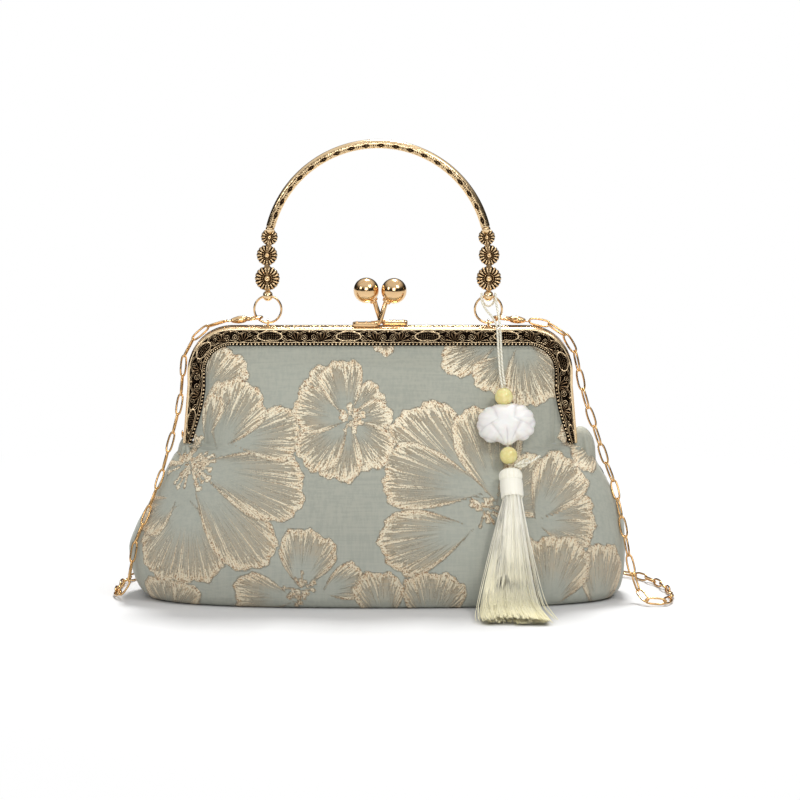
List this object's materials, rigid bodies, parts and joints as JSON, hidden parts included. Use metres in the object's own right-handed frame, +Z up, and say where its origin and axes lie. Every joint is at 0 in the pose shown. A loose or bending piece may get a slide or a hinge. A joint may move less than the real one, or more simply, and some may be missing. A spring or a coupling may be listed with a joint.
{
  "type": "evening clutch with kiss-lock frame, ring handle, shoulder chain and tassel charm",
  "caption": "Soft brocade evening clutch on an embossed kiss-lock frame, with a swinging arched handle, a shoulder chain and a tassel charm.",
  "frame": {"origin": "middle of the flat base on which the clutch stands", "axes": "+X to the right seen from the front, -Y to the front, +Z up"},
  "size_m": [0.2775, 0.1397, 0.2252],
  "materials": {
    "brocade": "sage green cloth with raised gold blossom brocade",
    "frame_metal": "embossed antique gold with dark recesses",
    "polished_metal": "polished pale gold",
    "handle_metal": "antique gold with dark grooves",
    "chain_metal": "polished pale gold wire links",
    "silk_cord": "cream braided silk cord",
    "jade_bead": "pale yellow-green polished stone",
    "white_lotus": "white milky resin",
    "tassel_silk": "cream silk threads, yellower at the ends"
  },
  "bodies": {
    "bag": {"cloth_body": "brocade", "frame_front": "frame_metal", "frame_back": "frame_metal", "pivot_pin_left": "polished_metal", "pivot_pin_right": "polished_metal", "clasp_front": "polished_metal", "clasp_back": "polished_metal", "ring_left": "polished_metal", "ring_right": "polished_metal", "chain_clasp_left": "polished_metal", "chain_clasp_right": "polished_metal", "chain": "chain_metal", "charm_cord": "silk_cord", "charm_bead_top": "jade_bead", "charm_lotus": "white_lotus", "charm_bead_bottom": "jade_bead", "charm_bow": "silk_cord", "tassel": "tassel_silk"},
    "handle": {"handle_arch": "handle_metal", "handle_end_left": "handle_metal", "handle_end_right": "handle_metal"}
  },
  "joints": [
    {"name": "handle_swing", "type": "hinge", "parent": "bag", "child": "handle", "pos_m": [-0.001, 0.003, 0.14815], "axis": [1, 0, 0], "range_deg": [-95, 95]}
  ]
}
